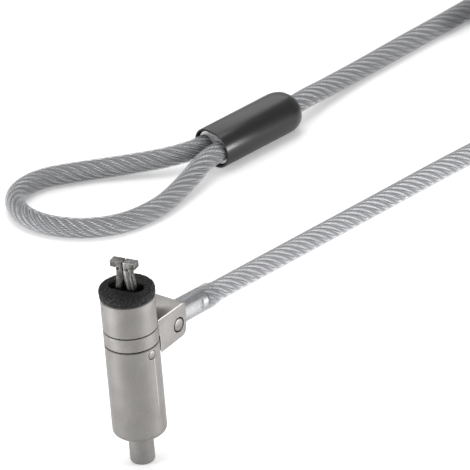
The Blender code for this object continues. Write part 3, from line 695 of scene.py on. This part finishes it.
def galvanised_rope():
    """Zinc-coated steel strand: light grey, each strand showing the fine wires it is laid from, with
    painted shade in the grooves between wires and in the gaps between strands.
    """
    made, tree, shader, place = material("galvanised steel strand", Metallic=0.1, Roughness=0.4)
    split = add(tree, "SeparateXYZ", {0: add(tree, "UVMap", uv_map="along").outputs[0]})
    lay = add(tree, "Math", {0: split.outputs["X"], 1: 1.0 / WIRE_LAY, 2: split.outputs["Y"]},
              operation="MULTIPLY_ADD")
    turns = add(tree, "Math", {0: lay.outputs[0], 1: math.tau * WIRES_PER_STRAND},
                operation="MULTIPLY")
    ridge = add(tree, "Math", {0: turns.outputs[0]}, operation="SINE")
    specks = add(tree, "TexNoise", {"Vector": place, "Scale": per_size(0.5), "Detail": 3.0})
    grey = add(tree, "ValToRGB", {0: specks.outputs[0]},
               stops=((0.34, "#d4d4d6"), (0.5, "#eeeef0"), (0.66, "#fafafa")))
    # Painted shade: ambient occlusion darkens the base colour towards #6e6f72 in the gaps between
    # strands.
    painted_gap_shade_ao = add(tree, "AmbientOcclusion", {"Distance": 0.5 * MM}, samples=6)
    # Painted shade: the grooves between the wires are darkened in colour towards #5a5b5e, besides
    # their bump.
    groove_shade_mask = add(tree, "MapRange", {0: ridge.outputs[0], 1: -0.9, 2: -0.1, 3: 0.0, 4: 1.0})
    wires_with_groove_shade = add(tree, "Mix", {0: groove_shade_mask.outputs[0], 6: linear("#5a5b5e"), 7: grey.outputs[0]},
                data_type="RGBA")
    depth = add(tree, "MapRange", {0: painted_gap_shade_ao.outputs["AO"], 1: 0.25, 2: 0.7, 3: 0.0, 4: 1.0})
    strand_with_painted_shade = add(tree, "Mix", {0: depth.outputs[0], 6: linear("#6e6f72"), 7: wires_with_groove_shade.outputs[2]},
                data_type="RGBA")
    tree.links.new(strand_with_painted_shade.outputs[2], shader.inputs["Base Color"])
    bump = add(tree, "Bump", {"Height": ridge.outputs[0], "Distance": 0.06 * MM, "Strength": 1.0})
    tree.links.new(bump.outputs[0], shader.inputs["Normal"])
    return made


def clear_vinyl():
    """Clear PVC: the rope shows through it, and its edges are thin grey shiny lines."""
    made, tree, shader, place = material(
        "clear vinyl jacket", Base_Color=linear("#97989b"), Roughness=0.12, IOR=1.53,
    )
    see_through(tree, shader, place, (0.02, 0.05), 0.97, 0.44)
    return made


def build_cable():
    """The jacket along the whole route, and the rope's strands wound inside it."""
    route = [
        *[on_cable(distance) for distance in (TERMINAL_END + 0.2, 17.0, 22.0, 30.0)], *LEAD_ROUTE,
        *coil_route(), *RETURN_ROUTE,
        *[in_crimp(depth, side) for depth, side in CRIMP_WAY_IN],
        *LOOP_ROUTE,
        *[in_crimp(depth, CABLE_SIDE) for depth in CRIMP_WAY_BACK],
    ]
    line = smooth_path(route)
    length = path_length(line)
    jacket_line = evenly(line, JACKET_STEP)
    jacket = tube_mesh("cable_jacket", [jacket_line], CABLE_R, JACKET_SIDES, clear_vinyl())

    centre = frames_along(evenly(line, ROPE_LAY / STRAND_STEPS))
    strands = []
    for strand in range(ROPE_STRANDS):
        run = []
        for step, (point, side, up) in enumerate(centre):
            turn = math.tau * (step / STRAND_STEPS + strand / ROPE_STRANDS)
            run.append(point + (side * math.cos(turn) + up * math.sin(turn)) * STRAND_ORBIT_R)
        strands.append(run)
    rope = tube_mesh("cable_rope", strands, STRAND_R, STRAND_SIDES, galvanised_rope())
    for part in (jacket, rope):
        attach(part, BODY_OF["cable_coil"])
    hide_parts("cable_lead", "cable_coil", "cable_return", "cable_loop")
    return jacket, rope, jacket_line, length


# Stage ------------------------------------------------------------------------------------


def build_view():
    """The camera, aimed at VIEW_TARGET from VIEW_BACK."""
    data = bpy.data.cameras.new("camera")
    data.sensor_width = SENSOR_WIDTH
    data.lens = SENSOR_WIDTH * VIEW_DISTANCE / VIEW_WIDTH
    data.clip_start, data.clip_end = (distance * MM for distance in VIEW_CLIP)
    camera = bpy.data.objects.new("camera", data)
    back = VIEW_BACK.normalized()
    right = VIEW_UP.cross(back).normalized()
    up = back.cross(right)
    turn = Matrix((right, up, back)).transposed().to_4x4()
    camera.matrix_world = Matrix.Translation((VIEW_TARGET + back * VIEW_DISTANCE) * MM) @ turn
    bpy.context.scene.collection.objects.link(camera)
    bpy.context.scene.camera = camera


def soft_light(name, place, size, power):
    """A square soft box that faces the lock."""
    data = bpy.data.lights.new(name, "AREA")
    data.size = size * MM
    data.energy = power
    light = bpy.data.objects.new(name, data)
    light.visible_camera = False
    light.location = Vector(place) * MM
    light.rotation_euler = (Vector(place) - LIGHT_AIM).to_track_quat("Z", "Y").to_euler()
    bpy.context.scene.collection.objects.link(light)


def build_stage():
    """A plain white floor that glows a little, an even pale room, and the soft boxes."""
    bm = bmesh.new()
    bmesh.ops.create_grid(bm, x_segments=1, y_segments=1, size=FLOOR_HALF * MM)
    data = bpy.data.meshes.new("floor")
    bm.to_mesh(data)
    bm.free()
    made, tree, shader, place = material(
        "lit white acrylic", Base_Color=linear("#f2f2f2"), Roughness=0.9,
        Emission_Color=linear("#ffffff"), Emission_Strength=FLOOR_GLOW,
    )
    fibre = add(tree, "TexNoise", {"Vector": place, "Scale": per_size(2.0), "Detail": 4.0})
    bump = add(tree, "Bump", {"Height": fibre.outputs[0], "Distance": 0.02 * MM, "Strength": 0.3})
    tree.links.new(bump.outputs[0], shader.inputs["Normal"])
    floor = piece("floor", data, made)

    world = bpy.data.worlds.new("studio")
    world.use_nodes = True
    sky = world.node_tree.nodes["Background"].inputs
    sky["Color"].default_value = linear("#ffffff")
    sky["Strength"].default_value = ROOM_BRIGHTNESS
    bpy.context.scene.world = world
    bpy.context.scene.view_settings.view_transform = "Standard"
    for box in SOFT_BOXES:
        soft_light(*box)


build_view()
build_stage()
build_body()
build_washer()
build_terminal_tube()
build_crimp()
build_straps(woven_strap())
jacket, rope, cable_line, cable_length = build_cable()
